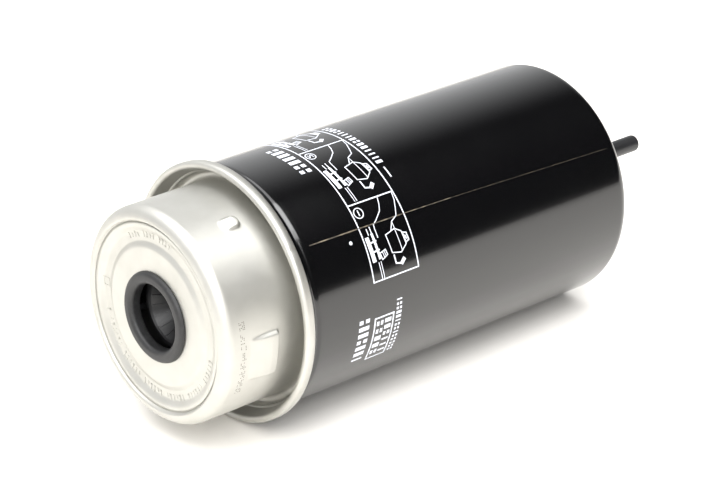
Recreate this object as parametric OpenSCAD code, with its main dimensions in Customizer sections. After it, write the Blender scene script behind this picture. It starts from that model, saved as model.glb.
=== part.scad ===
// Diesel fuel filter and water separator cartridge with a keyed neck, a seamed steel can,
// a pleated element that floats on a spring, and a screw drain valve with a hose nipple.
// Millimetres. +X runs along the filter from the neck to the drain, and +Z is up as it lies.
// The origin is on the axis, at the middle of the sealing bore in the head grommet.
// Profiles are lists of [radius, x] points that are turned about the X axis.

/* [Can] */
// Outer radius of the can
can_r = 40.9; // [36:0.1:52]
// Thickness of the can's sheet
can_t = 0.45; // [0.35:0.05:0.6]
// Length from the seam's front to the can's end face
can_len = 147.2; // [120:0.1:200]
// Outer radius of the rounded bottom corner
can_corner_r = 4.8; // [4:0.1:7]
// Radial width of the rolled bottom edge
can_lip_w = 9.9; // [8:0.1:11]

/* [Seam and recess] */
// Height that the rolled seam stands out of the can
seam_rise = 2.6; // [2.4:0.1:3.2]
// Radial width of the rolled seam
seam_w = 2.5; // [2.4:0.1:3]
// Height of the rolled seam along X
seam_h = 3.6; // [3.4:0.1:5]
// Depth of the recess behind the seam's front
recess_depth = 8; // [7:0.1:10]
// Width of the recess between the neck and the rolled seam
recess_w = 5; // [4.8:0.1:6]
// Width of the round channel at the bottom of the recess
channel_w = 3; // [2.6:0.1:3.2]

/* [Neck] */
// Length of the neck from its front to the seam's front
neck_len = 26.5; // [24:0.1:34]
// Thickness of the neck's sheet
cap_t = 0.8; // [0.7:0.05:0.9]
// Outer radius of the neck's front shoulder
shoulder_r = 4; // [3:0.1:5]
// Height that the key lugs stand out of the neck
lug_h = 1.3; // [0.8:0.1:1.8]
// Angle of the round key lug from the top
round_lug_a = 26.7; // [20:0.1:40]
// Width of the round key lug
round_lug_w = 5.2; // [4:0.1:7]
// Length of the round key lug
round_lug_l = 7.6; // [7:0.1:9]
// Angle of the middle of the wide key lug from the top
wide_lug_a = 98.3; // [80:0.1:120]
// Angle that the wide key lug covers
wide_lug_span = 25; // [15:1:40]
// Length of the wide key lug
wide_lug_l = 11.2; // [9:0.1:13]

/* [Head grommet] */
// Radius of the sealing bore
bore_r = 11; // [9:0.1:12]
// Length of the sealing bore's straight wall
bore_len = 2.2; // [1.5:0.1:3]
// Radial width of the front lip
lip_w = 4.1; // [3.6:0.1:5]
// Radius of the rounded edges of the front lip
lip_round = 1.6; // [1:0.1:1.8]
// Wall of the grommet inside the hole in the neck's end face
web_w = 1.8; // [1.6:0.1:2.4]

/* [Element] */
// Radial gap between the element's end caps and the inside of the neck
element_gap = 1.2; // [0.8:0.1:2]
// Number of pleats
pleats = 56; // [30:1:72]
// Thickness of the pleated paper
paper_t = 0.7; // [0.4:0.05:1]
// Outer radius of the core tube
core_r = 13.6; // [12.8:0.1:16]
// Wall of the core tube
core_t = 1.6; // [1.2:0.1:2.5]
// Rows of holes in the core tube
core_rows = 9; // [4:1:12]
// Radius of the bore in the stem grommet
stem_bore_r = 6.5; // [5:0.1:7.2]
// Distance that the element can be pushed down against its spring
element_float = 3; // [1:0.5:4]

/* [Spring] */
// Mean radius of the spring
spring_r = 17; // [15.5:0.5:19]
// Diameter of the spring's wire
spring_wire = 1.8; // [1.2:0.1:2.2]
// Working turns of the spring
spring_turns = 3.5; // [2.5:0.5:4.5]
// Fitted length of the spring
spring_len = 19.65; // [17:0.05:24]

/* [Drain] */
// Radius of the thread on the drain stem
stem_r = 5; // [4.6:0.1:5.6]
// Pitch of the drain thread
drain_pitch = 1.6; // [1:0.1:2]
// Turns between the closed and the open drain
drain_turns = 1.5; // [1:0.25:1.5]
// Radius of the drain knob
knob_r = 11; // [9:0.1:12]
// Length of the drain knob
knob_len = 11; // [8:0.5:12]
// Outer radius of the hose nipple
nipple_r = 3; // [2.4:0.1:3.6]
// Length of the nipple that stands out of the knob
nipple_len = 29; // [15:0.5:35]
// Radius of the drain passage
passage_r = 1.5; // [1:0.1:1.8]

/* [Hidden] */

// Facets of turned shapes, and steps of an arc and of a smooth step in a profile
$fn = 96;
arc_steps = 8;
step_steps = 8;

// Gap of a running fit, and gap between pieces that move past each other
run_gap = 0.05;
free_gap = 0.3;

// Radii of the seam, the neck, the head grommet and the rolled bottom edge
seam_r = can_r + seam_rise;
neck_r = seam_r - seam_w - recess_w;
lip_r = bore_r + lip_w;
face_hole_r = bore_r + web_w;
can_lip_r = can_r - can_lip_w;

// Stations along X, from the neck's front to the can's end
neck_front = -bore_len / 2 - 1.3;
seam_front = neck_front + neck_len;
seam_back = seam_front + seam_h;
can_end = seam_front + can_len;
recess_floor = seam_front + recess_depth;

// End face of the neck: an inner plateau, a shallow valley and an outer ring
plateau_x = neck_front + 1.2;
valley_x = neck_front + 2.2;
ring_x = neck_front + 0.9;
ring_in_r = neck_r - 5.6;
valley_out_r = ring_in_r - 3.2;
valley_in_r = valley_out_r - 2.3;
plateau_r = valley_in_r - 2.6;

// Seam: the cap's rim is curled over the can's flange
curl_r = seam_w / 2;
curl_mid_r = seam_r - curl_r;
curl_x = seam_front + curl_r;
chuck_r = seam_r - seam_w + cap_t / 2;
ledge_x = seam_front + 5.6;
ledge_out_r = chuck_r - 1.3;
channel_mid_r = neck_r + channel_w / 2;
channel_x = recess_floor - channel_w / 2;
flange_x = curl_x + 0.45;
flange_wall_r = seam_r - seam_w + cap_t + 0.05 + can_t / 2;
flange_out_r = seam_r - cap_t - 0.1;
neck_in_r = can_r - 0.35;
neck_in_x = seam_back + 2.7;
shell_x = seam_back + 4.5;

// Bottom cover and its sealant
cover_t = 0.8;
cover_gap = 0.15;
cover_face = can_end - can_t - cover_gap;
cover_r = can_r - can_t - 0.1;
cover_skirt = 9;
cover_dish = 3;
cover_step_r = can_lip_r - 0.5;
cover_dish_r = cover_step_r - 3.7;
dish_in = cover_face - cover_t - cover_dish;
dish_out = dish_in + cover_t;

// Drain boss, its gasket and its nut
boss_bore_r = stem_r + run_gap;
boss_r = boss_bore_r + 2.2;
boss_flange_r = boss_r + 3;
boss_flange_t = 2.4;
boss_hole_gap = 0.1;
gasket_t = 1.2;
nut_t = 5;
nut_af = 2 * boss_r + 4.6;
boss_end = dish_out + gasket_t + nut_t + 1.4;
throat_r = stem_r - 1;

// Drain stem, in the order of its steps from the nose to the tip
drain_travel = drain_pitch * drain_turns;
thread_h = 0.5;
seat_x = dish_in - 4;
throat_front = seat_x - 2.4;
oring_r = 0.6;
nose_lip_r = throat_r - 0.3;
nose_post_r = throat_r - oring_r - run_gap;
nose_front = seat_x - 1.1;
head_x = seat_x + 2 * oring_r + 2 * run_gap;
head_r = stem_r - 0.4;
cross_x = head_x + 1;
groove_x = head_x + 2.4;
groove_w = 2 * oring_r + 0.3;
groove_r = stem_r - 2 * oring_r + run_gap;
thread_x = groove_x + groove_w + 0.6;
thread_end = boss_end - 0.9 - 2 * run_gap - drain_travel;
neck_stem_r = stem_r - 1;
knob_x = boss_end + 1.5;
knob_end = knob_x + knob_len;
tip_x = knob_end + nipple_len;
ring_t = 0.8;

// Spring and its seat
seat_t = 1;
seat_top = dish_in - seat_t;
spring_end = seat_top - 0.05;
spring_front = spring_end - spring_len;

// Element, from its funnel mouth to the foot of its bottom cap
element_r = neck_r - cap_t - element_gap;
funnel_x = bore_len / 2 + 3.3;
funnel_end = funnel_x + 6.2;
sleeve_r = bore_r + 1.6;
plate_x = funnel_x + 8;
plate_t = 2.5;
cap_skirt = 5;
potting_t = 3.5;
pocket_r = stem_bore_r + 3.1;
pocket_len = 6.5;
core_x = funnel_end + pocket_len;
pack_x = plate_x + plate_t + potting_t;
foot_t = 2;
foot_end = spring_front - free_gap;
foot_x = foot_end - foot_t;
pack_end = foot_x - potting_t;
pack_len = pack_end - pack_x;
collar_len = element_float + 1;
collar_t = 1.6;
screen_t = 0.4;
screen_r = core_r + 0.1;
pleat_in_r = screen_r + screen_t + 0.2;
wrap_t = 1;
wrap_r = element_r - 1.4;
pleat_out_r = wrap_r - wrap_t - 0.2;
rib_count = 6;
rib_gap = 0.7;
rib_front = valley_x + cap_t + rib_gap;

// Points on an arc about c, from angle a to angle b, in [radius, x] space
function arc(c, r, a, b, n = arc_steps) =
    [for (i = [0:n]) let (t = a + (b - a) * i / n) [c[0] + r * cos(t), c[1] + r * sin(t)]];

// A smooth step from p to q that leaves and arrives along the radius
function radial_step(p, q, n = step_steps) =
    [for (i = [0:n]) let (s = i / n)
        [p[0] + (q[0] - p[0]) * s, p[1] + (q[1] - p[1]) * (1 - cos(180 * s)) / 2]];

// A smooth step from p to q that leaves and arrives along X
function axial_step(p, q, n = step_steps) =
    [for (i = [0:n]) let (s = i / n)
        [p[0] + (q[0] - p[0]) * (1 - cos(180 * s)) / 2, p[1] + (q[1] - p[1]) * s]];

// Unit normal of the segment from p to q
function normal(p, q) = let (d = q - p) [-d[1], d[0]] / norm(d);

// Point i of a path, moved sideways by h with mitred corners
function shifted(path, i, h) =
    let (last = len(path) - 1,
         a = normal(path[max(i - 1, 0)], path[max(i, 1)]),
         b = normal(path[min(i, last - 1)], path[min(i + 1, last)]))
    path[i] + h * (a + b) / (1 + a * b);

// Outline of a sheet of thickness t that is centred on a path
function sheet(path, t) =
    concat([for (i = [0:len(path) - 1]) shifted(path, i, t / 2)],
           [for (i = [len(path) - 1:-1:0]) shifted(path, i, -t / 2)]);

// Turns a [radius, x] outline about the X axis
module turned(outline) {
    rotate([0, 90, 0]) rotate_extrude() polygon(outline);
}

// Turns an outline through span degrees, centred on the angle a from the top
module turned_sector(outline, a, span) {
    rotate([a, 0, 0]) rotate([0, 90, 0]) rotate([0, 0, 180 - span / 2])
        rotate_extrude(angle = span) polygon(outline);
}

// Plain ring from radius a to radius b and from x to x + l
module ring(a, b, x, l) {
    turned([[a, x], [b, x], [b, x + l], [a, x + l]]);
}

// Cylinder along X from x to x + l
module rod(r, x, l) {
    translate([x, 0, 0]) rotate([0, 90, 0]) cylinder(r = r, h = l);
}

// Ring of round section, whose centre line has radius r
module torus(r, section_r, x) {
    rotate([0, 90, 0]) translate([0, 0, x]) rotate_extrude() translate([r, 0])
        circle(r = section_r, $fn = 24);
}

// Rolled and welded steel can, flanged in the seam and rolled in at the bottom
module can_body() {
    corner = [can_r - can_corner_r, can_end - can_corner_r];
    path = concat(
        [[flange_out_r, flange_x], [flange_wall_r, flange_x]],
        axial_step([flange_wall_r, seam_back + 0.1], [neck_in_r - can_t / 2, neck_in_x]),
        axial_step([neck_in_r - can_t / 2, neck_in_x + 0.1], [can_r - can_t / 2, shell_x]),
        arc(corner, can_corner_r - can_t / 2, 0, 90),
        [[can_lip_r, can_end - can_t / 2]]);
    color("#141414") turned(sheet(path, can_t));
}

// Drawn end plate that seats on the can's rolled edge, dished round the drain
module bottom_cover() {
    h = cover_t / 2;
    r = can_corner_r - can_t - cover_gap;
    corner = [cover_r - r, cover_face - r];
    path = concat(
        [[cover_r - h, corner[1] - cover_skirt]],
        arc(corner, r - h, 0, 90),
        radial_step([cover_step_r, cover_face - h], [cover_dish_r, dish_in + h]),
        [[boss_r + boss_hole_gap, dish_in + h]]);
    color("#1b1b1c") turned(sheet(path, cover_t));
}

// Ring of sealing compound between the end plate and the can's rolled edge
module bottom_sealant() {
    color("#6e2c1c") ring(can_lip_r + 0.6, can_r - can_corner_r - 0.2, cover_face, cover_gap);
}

// Outline of a key lug: a ramp that rises along the neck and ends in a steep step
function lug_outline(base, height, x, l) =
    [[base - 0.4, x], [base, x], [base + 0.75 * height, x + 0.45 * l],
     [base + height, x + 0.7 * l], [base + height, x + l - 0.6], [base, x + l],
     [base - 0.4, x + l]];

// Slot-shaped prism that stands on the X axis and cuts the round key lug to its outline
module round_lug_prism(w, x, l) {
    for (end = [x + w / 2, x + l - w / 2])
        translate([end, 0, 0]) cylinder(r = w / 2, h = seam_r, $fn = 32);
    translate([x + w / 2, -w / 2, 0]) cube([l - w, w, seam_r]);
}

// One round key lug, or the pocket pressed into its back
module round_lug(base, height, w, x, l) {
    rotate([round_lug_a, 0, 0]) intersection() {
        turned_sector(lug_outline(base, height, x, l), 0, 24);
        round_lug_prism(w, x, l);
    }
}

// Drawn and plated steel neck with its end face, key lugs, recess and curled rim
module neck_cap() {
    h = cap_t / 2;
    shoulder = [neck_r - shoulder_r, neck_front + shoulder_r];
    path = concat(
        [[face_hole_r, plateau_x + h]],
        radial_step([plateau_r, plateau_x + h], [valley_in_r, valley_x + h]),
        radial_step([valley_out_r, valley_x + h], [ring_in_r, ring_x + h]),
        radial_step([shoulder[0] - 0.6, ring_x + h], [shoulder[0] + 0.4, neck_front + h]),
        arc(shoulder, shoulder_r - h, -78, 0),
        arc([channel_mid_r, channel_x], channel_w / 2 + h, 180, 0, 2 * arc_steps),
        axial_step([channel_mid_r + channel_w / 2 + h, ledge_x + 0.3],
                   [ledge_out_r, ledge_x - 0.4]),
        arc([curl_mid_r, curl_x], curl_r - h, 180, 360, 2 * arc_steps),
        [[seam_r - h, seam_back - h - 0.3], [seam_r - h - 0.3, seam_back - h],
         [flange_wall_r + can_t / 2 + 0.1, seam_back - h]]);
    lug_end = seam_front - 5.4;
    color("#d9d5c6") difference() {
        union() {
            turned(sheet(path, cap_t));
            round_lug(neck_r, lug_h, round_lug_w, lug_end + 1 - round_lug_l, round_lug_l);
            turned_sector(lug_outline(neck_r, lug_h, lug_end - wide_lug_l, wide_lug_l),
                          wide_lug_a, wide_lug_span);
        }
        round_lug(neck_r - cap_t, lug_h, round_lug_w - 2 * cap_t,
                  lug_end + 1 - round_lug_l + cap_t, round_lug_l - 2 * cap_t);
        turned_sector(lug_outline(neck_r - cap_t, lug_h, lug_end - wide_lug_l + cap_t,
                                  wide_lug_l - 2 * cap_t),
                      wide_lug_a, wide_lug_span - 3);
    }
}

// Sealing compound that fills the rolled seam round the can's flange
module seam_sealant() {
    inner = flange_wall_r + can_t / 2 + 0.02;
    outer = seam_r - cap_t - 0.05;
    front = flange_x + can_t / 2 + 0.02;
    color("#7a3b22") ring(inner, outer, front, seam_back - cap_t - 0.25 - front);
}

// Moulded rubber grommet that seals on the filter head's outer stem
module head_grommet() {
    front = neck_front - 0.5;
    groove_in = plateau_x;
    groove_out = plateau_x + cap_t;
    back = groove_out + 1.9;
    outline = concat(
        arc([lip_r - lip_round, front + lip_round], lip_round, 0, -90),
        arc([bore_r + lip_round, front + lip_round], lip_round, -90, -180),
        [[bore_r, bore_len / 2], [bore_r + 0.9, back], [lip_r - 0.9, back],
         [lip_r - 0.3, groove_out + 0.6], [lip_r - 0.3, groove_out],
         [face_hole_r, groove_out], [face_hole_r, groove_in], [lip_r, groove_in]]);
    color("#242424") turned(outline);
}

// Machined steel boss that the drain stem screws into
module drain_boss() {
    ring_groove_x = boss_end - 0.1 - ring_t - 0.1;
    outline = [
        [throat_r, throat_front], [boss_r, throat_front], [boss_r, dish_in - boss_flange_t],
        [boss_flange_r, dish_in - boss_flange_t], [boss_flange_r, dish_in],
        [boss_r, dish_in], [boss_r, boss_end - 0.5], [boss_r - 0.5, boss_end],
        [boss_bore_r, boss_end], [boss_bore_r, ring_groove_x + ring_t],
        [boss_bore_r + 0.6, ring_groove_x + ring_t], [boss_bore_r + 0.6, ring_groove_x],
        [boss_bore_r, ring_groove_x], [boss_bore_r, seat_x], [throat_r, seat_x]];
    color("#8f9296") turned(outline);
}

// Fibre gasket under the boss nut
module boss_gasket() {
    color("#5b4636") ring(boss_r + boss_hole_gap, nut_af / 2 + 0.3, dish_out, gasket_t);
}

// Hexagon nut that clamps the boss to the bottom cover
module boss_nut() {
    color("#b9bab2") difference() {
        intersection() {
            translate([dish_out + gasket_t, 0, 0]) rotate([0, 90, 0])
                cylinder(r = nut_af / 2 / cos(30), h = nut_t, $fn = 6);
            turned([[0, dish_out + gasket_t], [nut_af / 2 / cos(30), dish_out + gasket_t],
                [nut_af / 2 / cos(30), dish_out + gasket_t + nut_t - 0.9],
                [nut_af / 2, dish_out + gasket_t + nut_t], [0, dish_out + gasket_t + nut_t]]);
        }
        rod(boss_r, dish_out, nut_t + 2 * gasket_t);
    }
}

// Snap ring in the boss's mouth that stops the drain stem at the end of its travel
module stop_ring() {
    x = boss_end - 0.2 - ring_t;
    color("#c6c7c2") difference() {
        ring(neck_stem_r + free_gap, boss_bore_r + 0.5, x + 0.02, ring_t - 0.04);
        translate([x - 1, -1.2, 0]) cube([ring_t + 2, 2.4, boss_r]);
    }
}

// Stamped washer that centres the spring on the bottom cover
module spring_seat() {
    inner = boss_flange_r + 0.4;
    outer = spring_r + spring_wire / 2 + 1.6;
    outline = [[inner, seat_top], [outer - seat_t, seat_top], [outer - seat_t, seat_top - 1.4],
        [outer, seat_top - 1.4], [outer, dish_in], [inner, dish_in]];
    color("#a9aaa4") turned(outline);
}

// Height along the spring after u turns, with one dead turn at each end
function spring_height(u) =
    let (wire = spring_wire,
         span = spring_end - spring_front - 3 * wire,
         live = min(max(u - 1, 0), spring_turns))
    spring_front + wire / 2 + wire * min(u, 1) + span * live / spring_turns
        + wire * max(u - 1 - spring_turns, 0);

// Coil spring under the element, swept round its helix as one closed skin
module element_spring() {
    sides = 8;
    per_turn = 24;
    rings = (spring_turns + 2) * per_turn;
    points = [for (i = [0:rings], j = [0:sides - 1])
        let (a = 360 * i / per_turn, b = 360 * j / sides, w = spring_wire / 2,
             r = spring_r + w * cos(b), x = spring_height(i / per_turn) + w * sin(b))
        [x, r * sin(a), r * cos(a)]];
    quads = [for (i = [0:rings - 1], j = [0:sides - 1])
        let (k = (j + 1) % sides)
        [i * sides + j, i * sides + k, (i + 1) * sides + k, (i + 1) * sides + j]];
    ends = [[for (j = [sides - 1:-1:0]) j], [for (j = [0:sides - 1]) rings * sides + j]];
    color("#9a9c9d") polyhedron(points, concat(quads, ends));
}

// Moulded top cap of the element, with its funnel, stem sleeve and standing ribs
module top_end_cap() {
    outline = [
        [bore_r, funnel_x], [sleeve_r - 0.4, funnel_x], [sleeve_r, funnel_x + 0.4],
        [sleeve_r, plate_x], [element_r, plate_x], [element_r, plate_x + cap_skirt + plate_t],
        [element_r - 1.2, plate_x + cap_skirt + plate_t], [element_r - 1.2, plate_x + plate_t],
        [core_r + 0.1, plate_x + plate_t], [core_r + 0.1, core_x], [pocket_r, core_x],
        [pocket_r, funnel_end], [stem_bore_r + 0.9, funnel_end],
        [stem_bore_r + 1.1, funnel_end - 0.8], [bore_r - 0.3, funnel_x + 0.7]];
    funnel_rib = [[bore_r - 0.1, funnel_x + 0.9], [stem_bore_r + 1.4, funnel_end - 0.9],
        [stem_bore_r + 0.9, funnel_end - 0.9], [bore_r - 0.7, funnel_x + 0.9]];
    color("#1e1e20") union() {
        turned(outline);
        for (i = [0:17])
            turned_sector(funnel_rib, 20 * i, 3);
        for (i = [0:rib_count - 1])
            rotate([360 * i / rib_count + 15, 0, 0])
                translate([rib_front, -0.9, sleeve_r + 4])
                    cube([plate_x - rib_front + 0.5, 1.8, element_r - sleeve_r - 8]);
    }
}

// Rubber seal for the head's inner stem, held in the top cap's pocket
module stem_grommet() {
    l = core_x - funnel_end;
    outline = [[stem_bore_r + 0.8, funnel_end], [pocket_r, funnel_end], [pocket_r, core_x],
        [stem_bore_r + 1.4, core_x], [stem_bore_r + 1.4, funnel_end + 0.75 * l],
        [stem_bore_r, funnel_end + 0.6 * l], [stem_bore_r, funnel_end + 0.15 * l]];
    color("#2b2b2b") turned(outline);
}

// Moulded centre tube with rows of holes and a collar that holds the stem grommet
module core_tube() {
    pitch = (pack_len - 10) / core_rows;
    color("#2c2d2f") difference() {
        turned([[stem_bore_r + 1.5, core_x], [core_r, core_x], [core_r, pack_end + 1.5],
            [core_r - core_t, pack_end + 1.5], [core_r - core_t, core_x + 2],
            [stem_bore_r + 1.5, core_x + 2]]);
        for (i = [0:core_rows - 1], j = [0:2])
            translate([pack_x + 5 + pitch * (i + 0.5), 0, 0])
                rotate([60 * j + 30 * (i % 2), 0, 0])
                    cylinder(r = 2.4, h = 2 * core_r + 4, center = true, $fn = 24);
    }
}

// Water-repelling screen wrapped on the core tube
module water_screen() {
    color("#c8ccd0") ring(screen_r, screen_r + screen_t, pack_x, pack_len);
}

// Star outline with alternating tip and root radii
function star(tip, root) =
    [for (i = [0:2 * pleats - 1]) let (a = 180 * i / pleats, r = (i % 2 == 0) ? tip : root)
        [r * cos(a), r * sin(a)]];

// Pleated filter paper
module pleated_media() {
    color("#cdb98a") translate([pack_x, 0, 0]) rotate([0, 90, 0])
        linear_extrude(height = pack_len) difference() {
            polygon(star(pleat_out_r, pleat_in_r + 2 * paper_t));
            polygon(star(pleat_out_r - 2 * paper_t, pleat_in_r));
        }
}

// Non-woven wrap round the pleats
module outer_wrap() {
    color("#e3e1d8") ring(wrap_r - wrap_t, wrap_r, pack_x, pack_len);
}

// Potting compound that bonds the pleats into the top cap
module upper_potting() {
    color("#7d6a3c") ring(core_r + 0.1, element_r - 1.25, plate_x + plate_t, potting_t);
}

// Potting compound that bonds the pleats into the bottom cap
module lower_potting() {
    color("#7d6a3c") ring(core_r + 0.1, element_r - 1.25, pack_end, potting_t);
}

// Closed bottom cap of the element, with the collar that centres the spring
module bottom_end_cap() {
    collar_r = spring_r - spring_wire / 2 - 0.4;
    outline = [[0, foot_x], [core_r + 0.1, foot_x], [element_r - 1.2, foot_x],
        [element_r - 1.2, foot_x - cap_skirt], [element_r, foot_x - cap_skirt],
        [element_r, foot_end], [collar_r, foot_end], [collar_r, foot_end + collar_len],
        [collar_r - collar_t, foot_end + collar_len], [collar_r - collar_t, foot_end],
        [0, foot_end]];
    color("#1e1e20") turned(outline);
}

// Moulded drain stem: nose, seal lands, thread, neck and hose nipple in one piece
module drain_stem() {
    thread_n = floor((thread_end - thread_x) / drain_pitch);
    tip_round = 1.2;
    outline = concat(
        [[0, nose_front], [nose_lip_r - 0.3, nose_front], [nose_lip_r, nose_front + 0.3],
         [nose_lip_r, seat_x - run_gap], [nose_post_r, seat_x - run_gap],
         [nose_post_r, head_x], [head_r, head_x], [head_r, groove_x - 0.5],
         [stem_r, groove_x - 0.5], [stem_r, groove_x], [groove_r, groove_x],
         [groove_r, groove_x + groove_w], [stem_r, groove_x + groove_w]],
        [for (i = [0:thread_n - 1], k = [0:3])
            [stem_r - ((k == 1 || k == 2) ? thread_h : 0), thread_x + (i + k / 4) * drain_pitch]],
        [[stem_r, thread_end], [neck_stem_r, thread_end], [neck_stem_r, knob_end],
         [nipple_r, knob_end]],
        arc([nipple_r - tip_round, tip_x - tip_round], tip_round, 0, 90),
        [[0, tip_x]]);
    color("#1c1c1e") difference() {
        turned(outline);
        rod(passage_r, cross_x, tip_x - cross_x + 1);
        for (a = [0, 90])
            translate([cross_x + 0.1, 0, 0]) rotate([a, 0, 0])
                cylinder(r = 0.8, h = 2 * stem_r + 2, center = true, $fn = 24);
    }
}

// Fluted knob pressed on the drain stem
module drain_knob() {
    flutes = 10;
    color("#19191b") translate([knob_x, 0, 0]) rotate([0, 90, 0])
        linear_extrude(height = knob_len) difference() {
            circle(r = knob_r);
            circle(r = neck_stem_r);
            for (i = [0:flutes - 1])
                rotate([0, 0, 360 * i / flutes]) translate([knob_r + 1.2, 0])
                    circle(r = 2.2, $fn = 24);
        }
}

// O-ring on the stem's nose that seals against the seat in the boss
module seat_oring() {
    color("#101010") torus(throat_r, oring_r, seat_x + oring_r + run_gap);
}

// O-ring that keeps fuel out of the drain thread
module stem_oring() {
    section = (boss_bore_r - groove_r) / 2 - 0.03;
    color("#101010") torus((boss_bore_r + groove_r) / 2, section, groove_x + groove_w / 2);
}

can_body();
bottom_cover();
bottom_sealant();
neck_cap();
seam_sealant();
head_grommet();
drain_boss();
boss_gasket();
boss_nut();
stop_ring();
spring_seat();
element_spring();
top_end_cap();
stem_grommet();
core_tube();
water_screen();
pleated_media();
outer_wrap();
upper_potting();
lower_potting();
bottom_end_cap();
drain_stem();
drain_knob();
seat_oring();
stem_oring();
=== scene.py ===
import math

import bpy
import numpy as np
from mathutils import Matrix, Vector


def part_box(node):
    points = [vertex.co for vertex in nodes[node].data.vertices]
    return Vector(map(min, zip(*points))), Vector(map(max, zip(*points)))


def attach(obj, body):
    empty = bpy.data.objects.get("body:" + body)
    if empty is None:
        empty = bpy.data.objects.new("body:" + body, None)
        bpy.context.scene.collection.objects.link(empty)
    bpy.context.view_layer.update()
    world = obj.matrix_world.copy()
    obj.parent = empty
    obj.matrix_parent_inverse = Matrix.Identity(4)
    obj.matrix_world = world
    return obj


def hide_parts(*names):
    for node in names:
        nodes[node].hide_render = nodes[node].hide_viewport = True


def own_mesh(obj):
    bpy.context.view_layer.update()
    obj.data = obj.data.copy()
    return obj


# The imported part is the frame: every piece below rides on one of its bodies.
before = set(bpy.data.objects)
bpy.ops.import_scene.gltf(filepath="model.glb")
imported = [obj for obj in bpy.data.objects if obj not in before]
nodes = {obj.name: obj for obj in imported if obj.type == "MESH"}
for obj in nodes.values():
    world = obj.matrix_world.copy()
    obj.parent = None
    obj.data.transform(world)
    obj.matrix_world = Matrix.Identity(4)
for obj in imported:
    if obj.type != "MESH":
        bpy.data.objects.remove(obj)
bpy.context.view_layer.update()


# ---- Neck cap ----------------------------------------------------------------------------
# Drawn sheet-steel neck, plated, with a dished end face, key lugs pressed out of the wall,
# a deep recess and a rim that is curled over the can's flange to make the rolled seam.
def arc(centre, radius, start, end, n):
    """n + 1 rows [r, x] of centre + radius (cos t, sin t), t from start to end degrees."""
    t = np.radians(np.linspace(start, end, n + 1))
    return np.column_stack([centre[0] + radius * np.cos(t), centre[1] + radius * np.sin(t)])


def line(p, q, n):
    """n + 1 rows [r, x], evenly from p to q."""
    return np.array(p) + np.linspace(0, 1, n + 1)[:, None] * (np.array(q) - np.array(p))


def radial_step(p, q, n):
    """Rows from p to q: r runs evenly and x follows (1 - cos pi s) / 2."""
    s = np.linspace(0, 1, n + 1)
    ease = (1 - np.cos(np.pi * s)) / 2
    return np.column_stack([p[0] + (q[0] - p[0]) * s, p[1] + (q[1] - p[1]) * ease])


def axial_step(p, q, n):
    """Rows from p to q: x runs evenly and r follows (1 - cos pi s) / 2."""
    s = np.linspace(0, 1, n + 1)
    ease = (1 - np.cos(np.pi * s)) / 2
    return np.column_stack([p[0] + (q[0] - p[0]) * ease, p[1] + (q[1] - p[1]) * s])


def without_repeats(path):
    """The path without points that repeat the one before them."""
    return path[np.r_[True, np.hypot(*np.diff(path, axis=0).T) > 1e-6]]


def shifted(path, h):
    """The path moved sideways by h: p + h (a + b) / (1 + a.b), a and b the unit normals."""
    path = without_repeats(path)
    d = np.diff(path, axis=0)
    normal = np.column_stack([-d[:, 1], d[:, 0]]) / np.hypot(*d.T)[:, None]
    a, b = np.vstack([normal[:1], normal]), np.vstack([normal, normal[-1:]])
    return path + h * (a + b) / (1 + (a * b).sum(1))[:, None]


def turned(outline, segments, push=None):
    """Grid (n, segments, 3) of (x, -r sin a, r cos a); push(r, x, a) gives r and x anew."""
    a = np.linspace(0, 2 * np.pi, segments, endpoint=False)[None, :]
    r, x = outline[:, :1] + 0 * a, outline[:, 1:] + 0 * a
    if push:
        r, x = push(r, x, np.degrees((a + np.pi) % (2 * np.pi) - np.pi) + 0 * r)
    return np.stack([x, -r * np.sin(a), r * np.cos(a)], axis=2) / 1000


def enclosed(co, faces):
    """Six times the volume inside closed quads, negative where they face inward."""
    p = (co - co.mean(0))[faces]
    return (np.cross(p[:, 0], p[:, 1]) * p[:, 2]).sum() + (np.cross(p[:, 0], p[:, 2]) * p[:, 3]).sum()


def mesh_of(name, co, faces, uv=None):
    """Smooth-shaded mesh of quads, turned to face outward."""
    if enclosed(co, faces) < 0:
        faces = faces[:, ::-1]
        uv = None if uv is None else uv[:, ::-1]
    mesh = bpy.data.meshes.new(name)
    mesh.vertices.add(len(co))
    mesh.vertices.foreach_set("co", co.astype(np.float32).ravel())
    mesh.loops.add(faces.size)
    mesh.loops.foreach_set("vertex_index", faces.astype(np.int32).ravel())
    mesh.polygons.add(len(faces))
    mesh.polygons.foreach_set("loop_start", np.arange(0, faces.size, 4, dtype=np.int32))
    mesh.polygons.foreach_set("use_smooth", np.ones(len(faces), bool))
    if uv is not None:
        mesh.uv_layers.new(name="UVMap").data.foreach_set("uv", uv.astype(np.float32).ravel())
    mesh.update(calc_edges=True)
    mesh.validate()
    return mesh


def place(name, mesh, body, material, stands_for=()):
    """The mesh as a piece on a body and its own material."""
    obj = bpy.data.objects.new(name, mesh)
    bpy.context.scene.collection.objects.link(obj)
    mesh.materials.append(material)
    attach(obj, body)
    if stands_for:
        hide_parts(*stands_for)
    return obj


def ring_mesh(name, grid):
    """Mesh of a grid whose rows and columns both close on themselves.

    UV is in metres: u runs round the axis by the neck wall's circumference, v along the outline.
    """
    n, m = grid.shape[:2]
    i, j = np.meshgrid(np.arange(n), np.arange(m), indexing="ij")
    corners = [(i, j), (i, j + 1), (i + 1, j + 1), (i + 1, j)]
    faces = np.stack([(a % n) * m + b % m for a, b in corners], axis=-1).reshape(-1, 4)
    along = np.r_[0, np.cumsum(np.linalg.norm(np.diff(grid[:, 0], axis=0, append=grid[:1, 0]), axis=1))]
    around = 2 * np.pi * NECK_R / 1000
    uv = np.stack([np.stack([b * around / m, along[a]], axis=-1) for a, b in corners], axis=2)
    return mesh_of(name, grid.reshape(-1, 3), faces, uv.reshape(-1, 4, 2))


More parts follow.
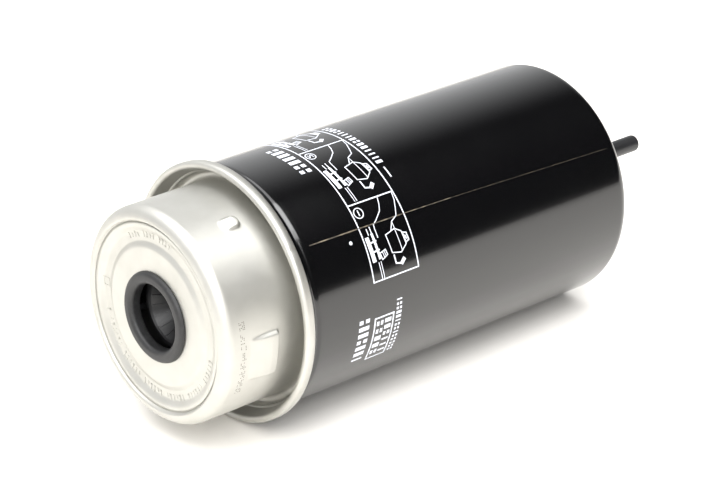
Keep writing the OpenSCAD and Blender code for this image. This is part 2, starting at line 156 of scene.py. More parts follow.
def rgb(code):
    """Linear colour of an sRGB hex code."""
    c = np.array([int(code[k:k + 2], 16) / 255 for k in (1, 3, 5)])
    c = np.where(c <= 0.04045, c / 12.92, ((c + 0.055) / 1.055) ** 2.4)
    return (*c.tolist(), 1.0)


def add(tree, kind, inputs=None, **settings):
    """A node with its settings; an input is a value or another node's output socket."""
    made = tree.nodes.new(kind)
    for key, value in settings.items():
        setattr(made, key, value)
    for key, value in (inputs or {}).items():
        if isinstance(value, bpy.types.NodeSocket):
            tree.links.new(value, made.inputs[key])
        else:
            made.inputs[key].default_value = value
    return made


def finish_of(name):
    """A new material's tree, its shader, and its object coordinates in millimetres."""
    material = bpy.data.materials.new(name)
    material.use_nodes = True
    tree = material.node_tree
    shader = tree.nodes["Principled BSDF"]
    coords = add(tree, "ShaderNodeTexCoord")
    mm = add(tree, "ShaderNodeVectorMath", {0: coords.outputs["Object"], "Scale": 1000.0}, operation="SCALE")
    return material, tree, shader, mm.outputs[0]


def mixed(tree, factor, a, b):
    """Colour mix of two hex codes by a factor socket."""
    mix = add(tree, "ShaderNodeMix", {0: factor, 6: rgb(a), 7: rgb(b)}, data_type="RGBA")
    return mix.outputs[2]


def ranged(tree, value, low, high, source=(0.0, 1.0)):
    """The value mapped from its source range to low..high."""
    made = add(tree, "ShaderNodeMapRange", {0: value, 1: source[0], 2: source[1], 3: low, 4: high})
    return made.outputs[0]


def noise(tree, vector, scale, detail=3.0, rough=0.5):
    """Noise value at scale cells per unit of the vector."""
    made = add(tree, "ShaderNodeTexNoise",
               {"Vector": vector, "Scale": scale, "Detail": detail, "Roughness": rough})
    return made.outputs["Fac"]


def stretched(tree, vector, factors):
    """The vector times factors, so that noise runs along the small one."""
    made = add(tree, "ShaderNodeVectorMath", {0: vector, 1: factors}, operation="MULTIPLY")
    return made.outputs[0]


def bumped(tree, shader, height, distance, strength=1.0):
    """Bump of a height socket, distance in metres."""
    made = add(tree, "ShaderNodeBump", {"Height": height, "Distance": distance, "Strength": strength})
    tree.links.new(made.outputs[0], shader.inputs["Normal"])


# Bright tin-like plating with a faint yellow passivation and fine drawing lines round the axis.
plating, tree, shader, mm = finish_of("plated_drawn_steel")
uv_mm = add(tree, "ShaderNodeVectorMath",
            {0: add(tree, "ShaderNodeTexCoord").outputs["UV"], "Scale": 1000.0}, operation="SCALE").outputs[0]
drawn = noise(tree, stretched(tree, uv_mm, (0.05, 6.0, 1.0)), 1.0, 4.0)
cloud = noise(tree, mm, 0.12, 3.0)
tree.links.new(mixed(tree, cloud, "#C5C4BF", "#B7B6B0"), shader.inputs["Base Color"])
tree.links.new(ranged(tree, noise(tree, mm, 0.35, 4.0), 0.46, 0.56), shader.inputs["Roughness"])
shader.inputs["Metallic"].default_value = 1.0
bumped(tree, shader, drawn, 0.00002, 0.35)

# Radii, the sheet's thickness and the seam's back edge in mm; the weld's place in degrees.
NECK_R, CAP_T = 36.0, 0.8
SEAM_R, SEAM_BACK = 43.5, 27.7
WELD_ANGLE = 52.7


def cap_path(k):
    """Middle line of the cap's sheet as [r, x], k times finer than its plain facets."""
    return np.vstack([
        line((12.8, -0.8), (22.3, -0.8), 3 * k),
        radial_step((22.3, -0.8), (24.9, 0.2), 4 * k),
        radial_step((27.2, 0.2), (30.4, -1.1), 5 * k),
        radial_step((31.4, -1.1), (32.4, -2.0), 3 * k),
        arc((32.0, 1.6), 3.6, -78, 0, 6 * k),
        line((35.6, 1.6), (35.6, 30.6), 26 * k),
        arc((37.5, 30.6), 1.9, 180, 0, 6 * k),
        axial_step((39.4, 30.0), (40.1, 29.3), 2 * k),
        arc((42.25, 25.35), 0.85, 180, 360, 8 * k),
        line((43.1, 27.0), (42.8, 27.3), k),
        line((42.8, 27.3), (42.125, 27.3), k),
    ])


def lug_height(x, start, length):
    """Ramp that rises along the neck, runs level and ends in a steep step, from 0 to 1."""
    places = [0, 0.45 * length, 0.7 * length, length - 0.7, length]
    return np.interp(x - start, places, [0, 0.75, 1, 1, 0])


def eased(v):
    """3 v^2 - 2 v^3 of v held to 0..1."""
    v = np.clip(v, 0, 1)
    return v * v * (3 - 2 * v)


def cap_push(r, x, a):
    """Raises the wide lug and the round one, and dents the curled rim over the can's weld."""
    mm_per_degree = math.radians(1) * NECK_R
    wall = (r > NECK_R - 1.2) & (r < NECK_R + 0.2) & (x > 2) & (x < 24)
    wide_lug = lug_height(x, 7.5, 11.2) * eased((12.5 - abs(a - 98.3)) * mm_per_degree / 0.9)
    from_spine = np.hypot(x - np.clip(x, 14.7, 17.1), (a - 26.7) * mm_per_degree)
    round_lug = lug_height(x, 12.1, 7.6) * eased((2.6 - from_spine) / 0.8)
    r = r + np.where(wall, 1.3 * np.maximum(wide_lug, round_lug), 0)
    rim = (r > 41.4) & (x < SEAM_BACK)
    return r - np.where(rim, 0.12 * np.exp(-(a - WELD_ANGLE) ** 2), 0), x


outline = np.vstack([shifted(cap_path(3), -CAP_T / 2), shifted(cap_path(1), CAP_T / 2)[::-1]])
outline[:, 0] = np.minimum(outline[:, 0], SEAM_R)
place("neck_cap_skin", ring_mesh("neck_cap_skin", turned(outline, 480, cap_push)),
      "housing", plating, ["neck_cap"])

# ---- Can ---------------------------------------------------------------------------------
# Rolled and welded sheet-steel can in black gloss enamel, flanged into the seam at the front
# and rolled in at the bottom. The enamel has a faint orange-peel surface.

# Stoved black enamel: near-black, glossy under a thin clear film, with slow changes of gloss.
enamel, tree, shader, mm = finish_of("black_gloss_enamel")
shader.inputs["Base Color"].default_value = rgb("#070708")
tree.links.new(ranged(tree, noise(tree, mm, 0.08, 4.0), 0.13, 0.2), shader.inputs["Roughness"])
shader.inputs["IOR"].default_value = 1.5
shader.inputs["Coat Weight"].default_value = 0.4
shader.inputs["Coat Roughness"].default_value = 0.06
bumped(tree, shader, noise(tree, mm, 0.7, 2.0), 0.000012, 0.5)

CAN_R, CAN_T = 40.9, 0.45


def can_path(k):
    """Middle line of the can's sheet as [r, x], k times finer than its plain facets."""
    return np.vstack([
        line((42.6, 25.8), (42.075, 25.8), k),
        axial_step((42.075, 27.8), (40.325, 30.4), 3 * k),
        axial_step((40.325, 30.5), (40.675, 32.2), 3 * k),
        line((40.675, 32.2), (40.675, 166.5), 24 * k),
        arc((36.1, 166.5), 4.575, 0, 90, 8 * k),
        line((36.1, 171.075), (31.0, 171.075), 3 * k),
    ])


outline = np.vstack([shifted(can_path(3), -CAN_T / 2), shifted(can_path(1), CAN_T / 2)[::-1]])
place("can_skin", ring_mesh("can_skin", turned(outline, 480)), "housing", enamel, ["can_body"])

# ---- Head grommet ------------------------------------------------------------------------
# Moulded black rubber ring snapped into the end face. It seals on the head's outer stem.

# Black nitrile rubber, dull, with a fine grain and a trace of grey bloom.
rubber, tree, shader, mm = finish_of("moulded_black_rubber")
dust = noise(tree, mm, 0.9, 5.0, 0.65)
bloom = ranged(tree, dust, 0, 1, (0.45, 0.8))
tree.links.new(mixed(tree, bloom, "#1B1B1C", "#2C2C2D"), shader.inputs["Base Color"])
tree.links.new(ranged(tree, dust, 0.42, 0.6), shader.inputs["Roughness"])
bumped(tree, shader, noise(tree, mm, 4.0, 3.0), 0.000015, 0.6)

# Round front lip, sealing bore, tapered inner end, and the groove that holds the sheet's edge.
outline = np.vstack([
    arc((13.5, -1.3), 1.6, 0, -90, 14), arc((12.6, -1.3), 1.6, -90, -180, 14),
    line((11.0, -1.3), (11.0, 1.1), 4), line((11.0, 1.1), (11.9, 1.5), 3),
    line((11.9, 1.5), (14.2, 1.5), 3), line((14.2, 1.5), (14.8, 0.2), 3),
    line((14.8, 0.2), (14.8, -0.4), 2), line((14.8, -0.4), (12.8, -0.4), 3),
    line((12.8, -0.4), (12.8, -1.2), 2), line((12.8, -1.2), (15.1, -1.2), 4)])
outline = without_repeats(outline)[:-1]
place("head_grommet_skin", ring_mesh("head_grommet_skin", turned(outline, 240)),
      "housing", rubber, ["head_grommet"])


# ---- Print -------------------------------------------------------------------------------
# White screen print on the enamel: a panel of three plain fitting pictograms, step numbers,
# plain bars where a maker would letter the can, and the tan line of the welded side seam.
def divided(points, closed, step=0.8):
    """The line's points with more set evenly between them, step mm or more apart."""
    p = np.array(points, float)
    if closed:
        p = np.vstack([p, p[:1]])
    fine = [p[:1]]
    for u, v in zip(p[:-1], p[1:]):
        k = max(1, int(np.hypot(*(v - u)) / step))
        fine.append(u + (np.arange(1, k + 1) / k)[:, None] * (v - u))
    p = np.vstack(fine)
    return p[:-1] if closed else p


def edges_of(p, width, closed):
    """Both edges of a line: p +- w/2 (a + b) / (1 + a.b), a and b the unit normals beside p."""
    d = np.roll(p, -1, 0) - p if closed else np.diff(p, axis=0)
    normal = np.column_stack([-d[:, 1], d[:, 0]]) / np.hypot(*d.T)[:, None]
    if closed:
        a, b = np.roll(normal, 1, 0), normal
    else:
        a, b = np.vstack([normal[:1], normal]), np.vstack([normal, normal[-1:]])
    side = width / 2 * (a + b) / np.maximum(1 + (a * b).sum(1), 0.3)[:, None]
    return p + side, p - side


def band_faces(m, closed):
    """Quads of a band of m sections of four corners, with both ends capped if it is open."""
    i, j = np.meshgrid(np.arange(m if closed else m - 1), np.arange(4), indexing="ij")
    corners = [(i, j), (i, j + 1), (i + 1, j + 1), (i + 1, j)]
    quads = np.stack([(a % m) * 4 + b % 4 for a, b in corners], axis=-1).reshape(-1, 4)
    if closed:
        return quads
    last = 4 * (m - 1)
    return np.vstack([quads, [[3, 2, 1, 0], [last, last + 1, last + 2, last + 3]]])


def strokes(name, lines, surface, lift=0.03, sink=0.06):
    """Mesh of flat closed bands, one for each (points, width, closed).

    surface(p, q, h) places the flat coordinates p and q; a band runs from sink below it to lift above it.
    """
    co, faces, used = [], [], 0
    for points, width, closed in lines:
        p = divided(points, closed)
        left, right = edges_of(p, width, closed)
        corners = [surface(*left.T, lift), surface(*right.T, lift),
                   surface(*right.T, -sink), surface(*left.T, -sink)]
        band = np.stack(corners, axis=1).reshape(-1, 3)
        quads = band_faces(len(p), closed)
        if enclosed(band, quads) < 0:
            quads = quads[:, ::-1]
        co.append(band)
        faces.append(quads + used)
        used += len(band)
    mesh = bpy.data.meshes.new(name)
    mesh.from_pydata(np.vstack(co).tolist(), [], np.vstack(faces).tolist())
    mesh.validate()
    return mesh


def on_can(x, s, h):
    """Points on the can at x and at s mm of arc from the top, h above the enamel."""
    a = s / CAN_R
    return np.stack([x, -(CAN_R + h) * np.sin(a), (CAN_R + h) * np.cos(a)], axis=1) / 1000


def arc_mm(degrees):
    """Arc in mm on the can from its top to an angle."""
    return math.radians(degrees) * CAN_R


def circle(centre, radius, n=28):
    """Points of a circle in the flat coordinates."""
    t = np.linspace(0, 2 * np.pi, n, endpoint=False)
    return np.column_stack([centre[0] + radius * np.cos(t), centre[1] + radius * np.sin(t)])


def box(x0, x1, a0, a1):
    """Corners of a rectangle between two places along the can and two angles."""
    s0, s1 = arc_mm(a0), arc_mm(a1)
    return [(x0, s0), (x1, s0), (x1, s1), (x0, s1)]


def bars(x0, x1, a0, a1, count, seed):
    """A row of plain upright bars, thick, thin or split, where a maker would letter the can."""
    rng = np.random.default_rng(seed)
    pitch = (arc_mm(a1) - arc_mm(a0)) / count
    centre, gap = (x0 + x1) / 2, (x1 - x0) * 0.12
    made = []
    for k in range(count):
        middle, kind = arc_mm(a0) + (k + 0.4) * pitch, rng.integers(3)
        width = pitch * (0.6, 0.3, 0.55)[kind]
        spans = [(x0, centre - gap), (centre + gap, x1)] if kind == 2 else [(x0, x1)]
        made += [([(low, middle), (high, middle)], width, False) for low, high in spans]
    return made


def pictogram(s0):
    """A filter head with studs, a pump, a tank, a turn arrow and two fuel hoses, s0 mm round."""
    head = [
        ([(56.1, 11.4), (56.5, 19.6)], 1.5, False), ([(58.5, 10.6), (58.9, 19.2)], 0.9, False),
        ([(55.6, 13.6), (59.4, 13.2)], 0.5, False), ([(55.8, 16.6), (59.6, 16.2)], 0.5, False),
        ([(57.2, 8.8), (57.2, 11.0)], 0.3, False), ([(58.6, 8.4), (58.6, 10.6)], 0.3, False),
        ([(60.4, 9.2), (60.4, 12.6)], 0.3, False),
        ([(58.0, 20.0), (58.3, 25.5)], 0.24, False), ([(58.9, 19.9), (59.2, 25.5)], 0.24, False),
    ]
    pump = [
        ([(59.4, 17.4), (61.8, 16.8), (62.2, 18.6), (59.8, 19.6)], 0.32, True),
        ([(60.4, 17.2), (60.8, 19.2)], 0.25, False), ([(61.1, 17.0), (61.5, 18.9)], 0.25, False),
    ]
    tank = [
        ([(63.6, 12.6), (67.8, 11.6), (70.0, 13.0), (70.5, 17.4), (67.8, 19.4), (64.2, 18.6)], 0.32, True),
        ([(67.8, 11.8), (68.4, 19.2)], 0.24, False),
        ([(70.3, 13.6), (71.7, 14.0), (72.0, 16.4), (70.6, 16.9)], 0.4, True),
        ([(70.9, 14.6), (71.3, 16.0)], 0.5, False),
    ]
    hoses = [
        ([(66.9, 0.3), (66.2, 2.6), (65.1, 4.8), (62.2, 7.2), (60.6, 8.2), (60.4, 9.6)], 0.3, False),
        ([(73.0, 0.3), (72.5, 2.9), (71.2, 6.0), (70.4, 7.9), (67.8, 9.2), (66.2, 11.9)], 0.3, False),
        ([(67.8, 9.2), (67.9, 11.6)], 0.24, False),
    ]
    turn_arrow = [
        ([(64.6, 19.4), (64.8, 22.2), (67.0, 22.8)], 0.5, False),
        ([(66.8, 23.0), (68.6, 21.4)], 1.3, False),
    ]
    return [([(x, s0 + s) for x, s in points], width, closed)
            for points, width, closed in head + pump + tank + hoses + turn_arrow]


# Matt white ink, slightly blue and unevenly laid.
ink, tree, shader, mm = finish_of("white_screen_ink")
tree.links.new(mixed(tree, noise(tree, mm, 1.5, 3.0), "#DFE2EA", "#C6CAD3"), shader.inputs["Base Color"])
shader.inputs["Roughness"].default_value = 0.5

PANEL_X0, PANEL_X1, PANEL_LINE = 54.6, 73.6, 0.42
print_lines = [(box(PANEL_X0, PANEL_X1, -31.4, 78.1), PANEL_LINE, True)]
for divider in (42, 5.2):
    print_lines.append(([(PANEL_X0, arc_mm(divider)), (PANEL_X1, arc_mm(divider))], PANEL_LINE, False))
for middle in (46.5, 9.4, -27.6):
    print_lines.append((circle((57.2, arc_mm(middle)), 1.75), 0.32, True))
for cell_top in (42.0, 5.2, -31.4):
    print_lines += pictogram(arc_mm(cell_top))

# The step numbers 1 and 2 in their circles, then a dot beside the panel and a dash past it.
print_lines.append(([(57.2, arc_mm(45.1)), (57.2, arc_mm(47.9))], 0.36, False))
two = [(56.4, 8.2), (56.5, 10.4), (57.6, 8.2), (58.0, 8.6), (58.0, 10.6)]
print_lines.append(([(x, arc_mm(a)) for x, a in two], 0.26, False))
print_lines.append((circle((49.6, arc_mm(57.9)), 0.3, 12), 0.6, True))
print_lines.append(([(76.5, arc_mm(29.4)), (76.5, arc_mm(35.4))], 0.5, False))

# Rows of bars on both sides of the panel, and below it, where two rows stand in a box.
print_lines += bars(48.0, 52.4, -7.0, 20.0, 7, 3)
print_lines += bars(75.2, 77.8, -13.0, 27.5, 15, 5)
print_lines += bars(47.9, 52.2, 93.5, 118.5, 7, 8)
print_lines += bars(63.6, 65.8, 89.0, 119.5, 14, 9)
print_lines.append((box(54.6, 62.4, 95.6, 119.2), 0.55, True))
print_lines += bars(55.5, 58.2, 97.0, 117.8, 5, 10)
print_lines += bars(58.9, 61.6, 97.0, 117.8, 6, 11)
place("can_print", strokes("can_print", print_lines, on_can), "housing", ink)

# Tan lacquer that shows along the side weld. The line thins and creeps round the can.
weld_ink, tree, shader, mm = finish_of("weld_line_lacquer")
patches = ranged(tree, noise(tree, mm, 0.5, 3.0), 0, 1, (0.35, 0.6))
tree.links.new(mixed(tree, patches, "#6E6454", "#332D25"), shader.inputs["Base Color"])
shader.inputs["Roughness"].default_value = 0.65
weld_stations = [(34.4, 0.0), (72.0, 0.6), (94.0, 1.2), (165.0, 4.4)]
weld_points = [(x, arc_mm(WELD_ANGLE + creep)) for x, creep in weld_stations]
weld_lines = [([p, q], width, False) for p, q, width in zip(weld_points, weld_points[1:], (0.36, 0.24, 0.07))]
place("can_weld_line", strokes("can_weld_line", weld_lines, on_can), "housing", weld_ink)


# ---- Marks on the neck -------------------------------------------------------------------
# Dark dots of a sprayed lot mark on the neck's wall, with no readable characters, and plain
# raised ticks pressed into the valley of the end face.
def on_neck(x, s, h):
    """Points on the neck's wall at x and s mm of arc from the top, h above it."""
    a = s / NECK_R
    return np.stack([x, -(NECK_R + h) * np.sin(a), (NECK_R + h) * np.cos(a)], axis=1) / 1000


# Dried marking fluid, grey-brown and dull.
spray, tree, shader, mm = finish_of("sprayed_lot_mark")
tree.links.new(mixed(tree, noise(tree, mm, 2.0, 3.0), "#5F584D", "#454038"), shader.inputs["Base Color"])
shader.inputs["Roughness"].default_value = 0.6
rng = np.random.default_rng(12)
dots = []
for column in range(46):
    if column % 6 == 5:
        continue
    for row in range(4):
        if rng.random() < 0.55:
            x, s = 3.9 + 0.6 * row, math.radians(76 + 0.9 * column) * NECK_R
            dots.append(([(x, s), (x + 0.3, s)], 0.3, False))
place("neck_lot_mark", strokes("neck_lot_mark", dots, on_neck, 0.01, 0.03), "housing", spray)

face_line = shifted(cap_path(6), -CAP_T / 2)
face_line = face_line[np.argsort(face_line[:, 0])]


def on_face(y, z, h):
    """Points on the end face at y and z, h out of the sheet."""
    x = np.interp(np.hypot(y, z), face_line[:, 0], face_line[:, 1]) - h
    return np.stack([x, y, z], axis=1) / 1000


def face_arc(radius, a0, a1):
    """Points of an arc on the end face, angles from the top toward -Y."""
    t = np.radians(np.linspace(a0, a1, max(3, int(abs(a1 - a0) / 2))))
    return np.column_stack([-radius * np.sin(t), radius * np.cos(t)])


def tick(radius0, radius1, a):
    """A short radial line on the end face."""
    t = math.radians(a)
    return [(-radius * math.sin(t), radius * math.cos(t)) for radius in (radius0, radius1)]


marks = []
for k, a in enumerate(np.arange(-30, 21, 3.4)):
    if k % 5 != 4:
        marks.append((tick(25.9, 27.9 - 0.5 * (k % 2), a), 0.42, False))
        marks.append((face_arc(26.1 + 0.8 * (k % 3), a - 0.7, a + 1.0), 0.38, False))
for k, a in enumerate(np.arange(104, 257, 3.6)):
    if k % 7 != 6:
        marks.append((tick(25.9, 27.9 - 0.6 * (k % 3 == 1), a), 0.42, False))
        marks.append((face_arc(26.2 + 0.7 * (k % 3), a - 0.8, a + 0.9), 0.38, False))
y, z = face_arc(26.7, -84, -83.9)[0]
square = [(y - 1.3, z - 1.3), (y + 1.3, z - 1.3), (y + 1.3, z + 1.3), (y - 1.3, z + 1.3)]
marks.append((square, 0.4, True))
place("neck_pressed_marks", strokes("neck_pressed_marks", marks, on_face, 0.12, 0.1),
      "housing", plating)

# ---- Element spring ----------------------------------------------------------------------
# Cold-wound carbon-steel coil under the element, with closed end turns. The real spring shortens as
# the element is pushed down; this coil is wound once, to the length of the spring's solid.

# Bright drawn wire under a film of oil, with darker patches.
spring_steel, tree, shader, mm = finish_of("oiled_spring_steel")
tree.links.new(mixed(tree, noise(tree, mm, 0.5, 3.0), "#9A9C9D", "#7E8183"), shader.inputs["Base Color"])
shader.inputs["Metallic"].default_value = 1.0
tree.links.new(ranged(tree, noise(tree, mm, 1.2, 4.0), 0.25, 0.4), shader.inputs["Roughness"])
WIRE, COIL_R, LIVE_TURNS = 1.8, 17.0, 3.5


def coil_grid(x0, x1):
    """Wire surface (n, 16, 3) of the spring between x0 and x1, in metres.

    x = rise(turns) + w/2 sin b, and R + w/2 cos b is the radius, swept round by 2 pi a turn. The rise is one
    wire a turn in the closed end turns and even over the live turns between them.
    """
    turns = np.linspace(0, LIVE_TURNS + 2, int((LIVE_TURNS + 2) * 72) + 1)
    rise = x0 + WIRE / 2 + WIRE * np.minimum(turns, 1)
    rise += (x1 - x0 - 3 * WIRE) * np.clip(turns - 1, 0, LIVE_TURNS) / LIVE_TURNS
    rise += WIRE * np.clip(turns - 1 - LIVE_TURNS, 0, 1)
    t = 2 * np.pi * turns[:, None]
    b = np.linspace(0, 2 * np.pi, 16, endpoint=False)[None, :]
    r = COIL_R + WIRE / 2 * np.cos(b)
    x = rise[:, None] + WIRE / 2 * np.sin(b)
    return np.stack([x + 0 * t, r * np.sin(t), r * np.cos(t)], axis=2) / 1000


def rod_mesh(name, grid):
    """Mesh of a grid of n rings, each closed on itself, with a cap of quads on both ends."""
    n, m = grid.shape[:2]
    i, j = np.meshgrid(np.arange(n - 1), np.arange(m), indexing="ij")
    corners = [(i, j), (i, j + 1), (i + 1, j + 1), (i + 1, j)]
    faces = [np.stack([a * m + b % m for a, b in corners], axis=-1).reshape(-1, 4)]
    co = np.vstack([grid.reshape(-1, 3), grid[0].mean(0), grid[-1].mean(0)])
    for k in range(0, m, 2):
        around = [k, (k + 1) % m, (k + 2) % m]
        faces.append([[n * m, *around[::-1]]])
        faces.append([[*((n - 1) * m + v for v in around), n * m + 1]])
    return mesh_of(name, co, np.vstack(faces))


low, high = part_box("element_spring")
coil = place("element_spring_coil", rod_mesh("element_spring_coil", coil_grid(low.x * 1000, high.x * 1000)),
             "housing", spring_steel, ["element_spring"])
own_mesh(coil)

# ---- Drain knob --------------------------------------------------------------------------
# Moulded black knob with ten flutes and softened ends, pressed on the drain stem.

# Glass-filled black nylon, satin, with a fine moulded grain.
plastic, tree, shader, mm = finish_of("moulded_black_plastic")
tree.links.new(mixed(tree, noise(tree, mm, 0.5, 3.0), "#161617", "#202022"), shader.inputs["Base Color"])
tree.links.new(ranged(tree, noise(tree, mm, 2.0, 3.0), 0.32, 0.45), shader.inputs["Roughness"])
bumped(tree, shader, noise(tree, mm, 6.0, 2.0), 0.00001, 0.5)
low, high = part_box("drain_knob")
front, back = low.x * 1000, high.x * 1000
KNOB_R, BORE_R, SOFT_R = 11.0, 4.05, 1.2
inset = KNOB_R - SOFT_R
outline = without_repeats(np.vstack([
    line((BORE_R, front), (inset, front), 6), arc((inset, front + SOFT_R), SOFT_R, -90, 0, 8),
    line((KNOB_R, front + SOFT_R), (KNOB_R, back - SOFT_R), 8), arc((inset, back - SOFT_R), SOFT_R, 0, 90, 8),
    line((inset, back), (BORE_R, back), 6)]))


def flute_push(r, x, a):
    """Ten flutes, 1 mm deep: r - max(cos 10 (a + 90), 0)^1.5, fading out from r = 11 to r = 8."""
    depth = np.clip(np.cos(np.radians((a + 90) * 10)), 0, 1) ** 1.5
    return r - depth * np.clip((r - 8.0) / 3.0, 0, 1), x


place("drain_knob_skin", ring_mesh("drain_knob_skin", turned(outline, 360, flute_push)),
      "drain_valve", plastic, ["drain_knob"])

# ---- Pieces shown as they are ------------------------------------------------------------
# The remaining pieces keep their own solids. Each gets the finish of what it is made of.

# The same black enamel on the end plate, a little less even.
base_paint, tree, shader, mm = finish_of("black_bottom_enamel")
shader.inputs["Base Color"].default_value = rgb("#101011")
tree.links.new(ranged(tree, noise(tree, mm, 0.15, 3.0), 0.2, 0.3), shader.inputs["Roughness"])
bumped(tree, shader, noise(tree, mm, 0.9, 2.0), 0.000012, 0.5)

# Rust-red solvent compound that fills the seams.
compound, tree, shader, mm = finish_of("rust_red_sealing_compound")
tree.links.new(mixed(tree, noise(tree, mm, 0.8, 3.0), "#7A3B22", "#5E2A18"), shader.inputs["Base Color"])
shader.inputs["Roughness"].default_value = 0.6

# Turned steel, with tool marks round the axis.
machined, tree, shader, mm = finish_of("machined_steel")
tree.links.new(mixed(tree, noise(tree, mm, 0.3, 3.0), "#A3A5A8", "#8C8F93"), shader.inputs["Base Color"])
shader.inputs["Metallic"].default_value = 1.0
tool_marks = noise(tree, stretched(tree, mm, (9.0, 0.3, 0.3)), 1.0, 3.0)
tree.links.new(ranged(tree, tool_marks, 0.22, 0.38), shader.inputs["Roughness"])

# Bright zinc on the nut and the pressed spring seat.
zinc, tree, shader, mm = finish_of("bright_zinc_plating")
tree.links.new(mixed(tree, noise(tree, mm, 0.4, 3.0), "#C3C4BE", "#AFB1AC"), shader.inputs["Base Color"])
shader.inputs["Metallic"].default_value = 1.0
tree.links.new(ranged(tree, noise(tree, mm, 0.8, 4.0), 0.28, 0.42), shader.inputs["Roughness"])

# Brown pressed fibre, matt and mottled.
fibre, tree, shader, mm = finish_of("pressed_fibre_gasket")
tree.links.new(mixed(tree, noise(tree, mm, 2.5, 5.0), "#6B5342", "#4C3A2E"), shader.inputs["Base Color"])
shader.inputs["Roughness"].default_value = 0.85

# Dark grey moulded plastic of the perforated core.
core, tree, shader, mm = finish_of("moulded_core_plastic")
tree.links.new(mixed(tree, noise(tree, mm, 0.4, 3.0), "#2C2D2F", "#232426"), shader.inputs["Base Color"])
tree.links.new(ranged(tree, noise(tree, mm, 1.5, 3.0), 0.4, 0.52), shader.inputs["Roughness"])

# Pale coated gauze, shown by a fine wave of threads.
mesh_screen, tree, shader, mm = finish_of("woven_screen")
weave = add(tree, "ShaderNodeTexWave", {"Vector": mm, "Scale": 1.2, "Distortion": 0.3}, bands_direction="X")
tree.links.new(mixed(tree, weave.outputs["Fac"], "#D4D7DA", "#9DA3A8"), shader.inputs["Base Color"])
shader.inputs["Roughness"].default_value = 0.5
bumped(tree, shader, weave.outputs["Fac"], 0.0001, 0.6)

# Resin-stiffened filter paper, tan and fibrous.
paper, tree, shader, mm = finish_of("resin_filter_paper")
pulp = noise(tree, mm, 3.0, 6.0, 0.65)
tree.links.new(mixed(tree, pulp, "#D9C698", "#BFA877"), shader.inputs["Base Color"])
shader.inputs["Roughness"].default_value = 0.9
bumped(tree, shader, noise(tree, mm, 5.0, 4.0), 0.00005, 0.7)

# Off-white spun felt, its fibres drawn along the axis.
felt, tree, shader, mm = finish_of("non_woven_felt")
fibres = noise(tree, stretched(tree, mm, (0.6, 2.0, 2.0)), 2.0, 6.0, 0.7)
tree.links.new(mixed(tree, fibres, "#ECEAE2", "#D0CDC2"), shader.inputs["Base Color"])
shader.inputs["Roughness"].default_value = 0.95
bumped(tree, shader, noise(tree, mm, 4.0, 5.0), 0.0001, 0.6)

# Amber resin, cast round the ends of the pleats.
resin, tree, shader, mm = finish_of("cast_potting_resin")
tree.links.new(mixed(tree, noise(tree, mm, 0.3, 3.0), "#8A7646", "#6C5B34"), shader.inputs["Base Color"])
shader.inputs["Roughness"].default_value = 0.3

finishes = {
    "bottom_cover": (base_paint, "bottom_paint"),
    "bottom_sealant": (compound, "sealant"),
    "seam_sealant": (compound, "sealant"),
    "drain_boss": (machined, "boss_steel"),
    "boss_gasket": (fibre, "gasket_fibre"),
    "boss_nut": (zinc, "nut_plating"),
    "spring_seat": (zinc, "nut_plating"),
    "stop_ring": (spring_steel, "spring_steel"),
    "top_end_cap": (plastic, "black_plastic"),
    "bottom_end_cap": (plastic, "black_plastic"),
    "drain_stem": (plastic, "black_plastic"),
    "stem_grommet": (rubber, "black_rubber"),
    "seat_oring": (rubber, "black_rubber"),
    "stem_oring": (rubber, "black_rubber"),
    "core_tube": (core, "core_plastic"),
    "water_screen": (mesh_screen, "screen_mesh"),
    "pleated_media": (paper, "filter_paper"),
    "outer_wrap": (felt, "wrap_felt"),
    "upper_potting": (resin, "potting"),
    "lower_potting": (resin, "potting"),
}
for name, (material, slot) in finishes.items():
    nodes[name].data.materials.clear()
    nodes[name].data.materials.append(material)

# ---- Floor and light ---------------------------------------------------------------------
# A plain pale floor that the filter lies on, and three softboxes above and in front of it.

# Matt warm white board.
floor_finish, tree, shader, mm = finish_of("pale_floor")
shader.inputs["Base Color"].default_value = rgb("#F7F4EF")
shader.inputs["Roughness"].default_value = 0.75


def floor_z(x):
    """Height of the floor, on which the lying filter's seam and bottom edge rest."""
    return -0.0435 + (x - 0.0259) * (0.0435 - 0.0409) / (0.1665 - 0.0259)


near, far = (-2, floor_z(-2)), (2.6, floor_z(2.6))
corners = [(near[0], -2, near[1]), (far[0], -2, far[1]), (far[0], 2.2, far[1]), (near[0], 2.2, near[1])]
floor_mesh = bpy.data.meshes.new("floor")
floor_mesh.from_pydata(corners, [], [(0, 1, 2, 3)])
floor_mesh.materials.append(floor_finish)
floor = bpy.data.objects.new("floor", floor_mesh)
bpy.context.scene.collection.objects.link(floor)


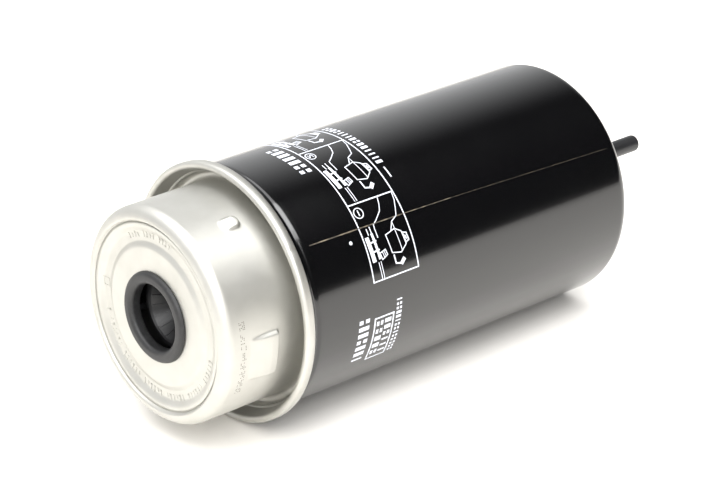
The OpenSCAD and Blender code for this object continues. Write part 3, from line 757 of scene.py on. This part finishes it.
def softbox(name, location, target, width, height, watts):
    """A rectangular white area light that faces its target."""
    light = bpy.data.lights.new(name, "AREA")
    light.shape = "RECTANGLE"
    light.size, light.size_y = width, height
    light.energy = watts
    back = np.array(location, float) - np.array(target, float)
    back /= np.linalg.norm(back)
    side = np.cross([0, 0, 1], back)
    steep = np.linalg.norm(side) < 1e-6
    side = np.array([1.0, 0, 0]) if steep else side / np.linalg.norm(side)
    axes = np.column_stack([side, np.cross(back, side), back])
    obj = bpy.data.objects.new(name, light)
    obj.matrix_world = Matrix([[*row, p] for row, p in zip(axes, location)] + [[0, 0, 0, 1]])
    bpy.context.scene.collection.objects.link(obj)


softbox("overhead", (-0.35, 0.15, 1.5), (-0.35, 0.15, 0), 1.5, 2.1, 31)
softbox("front_left_fill", (-0.7, -1.2, 1.0), (0.1, -0.05, 0.0), 1.5, 1.2, 35)
softbox("front_right_top", (0.3, -0.65, 1.5), (0.3, -0.6, 0.0), 1.2, 1.1, 25)

# The room: white behind and to the sides, easing to dark in front of the far end, so that the
# enamel mirrors a black band between a soft pale top and the pale floor.
world = bpy.data.worlds.new("studio")
bpy.context.scene.world = world
world.use_nodes = True
tree = world.node_tree
way = add(tree, "ShaderNodeTexCoord").outputs["Generated"]
behind = add(tree, "ShaderNodeVectorMath", {0: way, 1: (-0.35, 0.8, -0.15)}, operation="DOT_PRODUCT")
level = add(tree, "ShaderNodeMapRange", {0: behind.outputs["Value"], 1: -0.3, 2: 0.32, 3: 0.012, 4: 1.08},
            interpolation_type="SMOOTHSTEP")
tree.links.new(level.outputs[0], tree.nodes["Background"].inputs[1])
tree.nodes["Background"].inputs[0].default_value = rgb("#FDFEFF")

# ---- Camera ------------------------------------------------------------------------------
# A long lens from the neck's side, looking down on the lying filter.
right, up, back = (0.7482, -0.6632, 0.0), (0.2723, 0.3071, 0.9119), (-0.6047, -0.6825, 0.4105)
place_of_eye = (-0.4520, -0.6045, 0.3649)
camera = bpy.data.cameras.new("camera")
camera.lens = 133.886
camera.sensor_width = 36.0
camera.clip_start, camera.clip_end = 0.01, 50
eye = bpy.data.objects.new("camera", camera)
eye.matrix_world = Matrix([*zip(right, up, back, place_of_eye), (0, 0, 0, 1)])
bpy.context.scene.collection.objects.link(eye)
bpy.context.scene.camera = eye
bpy.context.scene.view_settings.view_transform = "Standard"

bpy.context.view_layer.update()
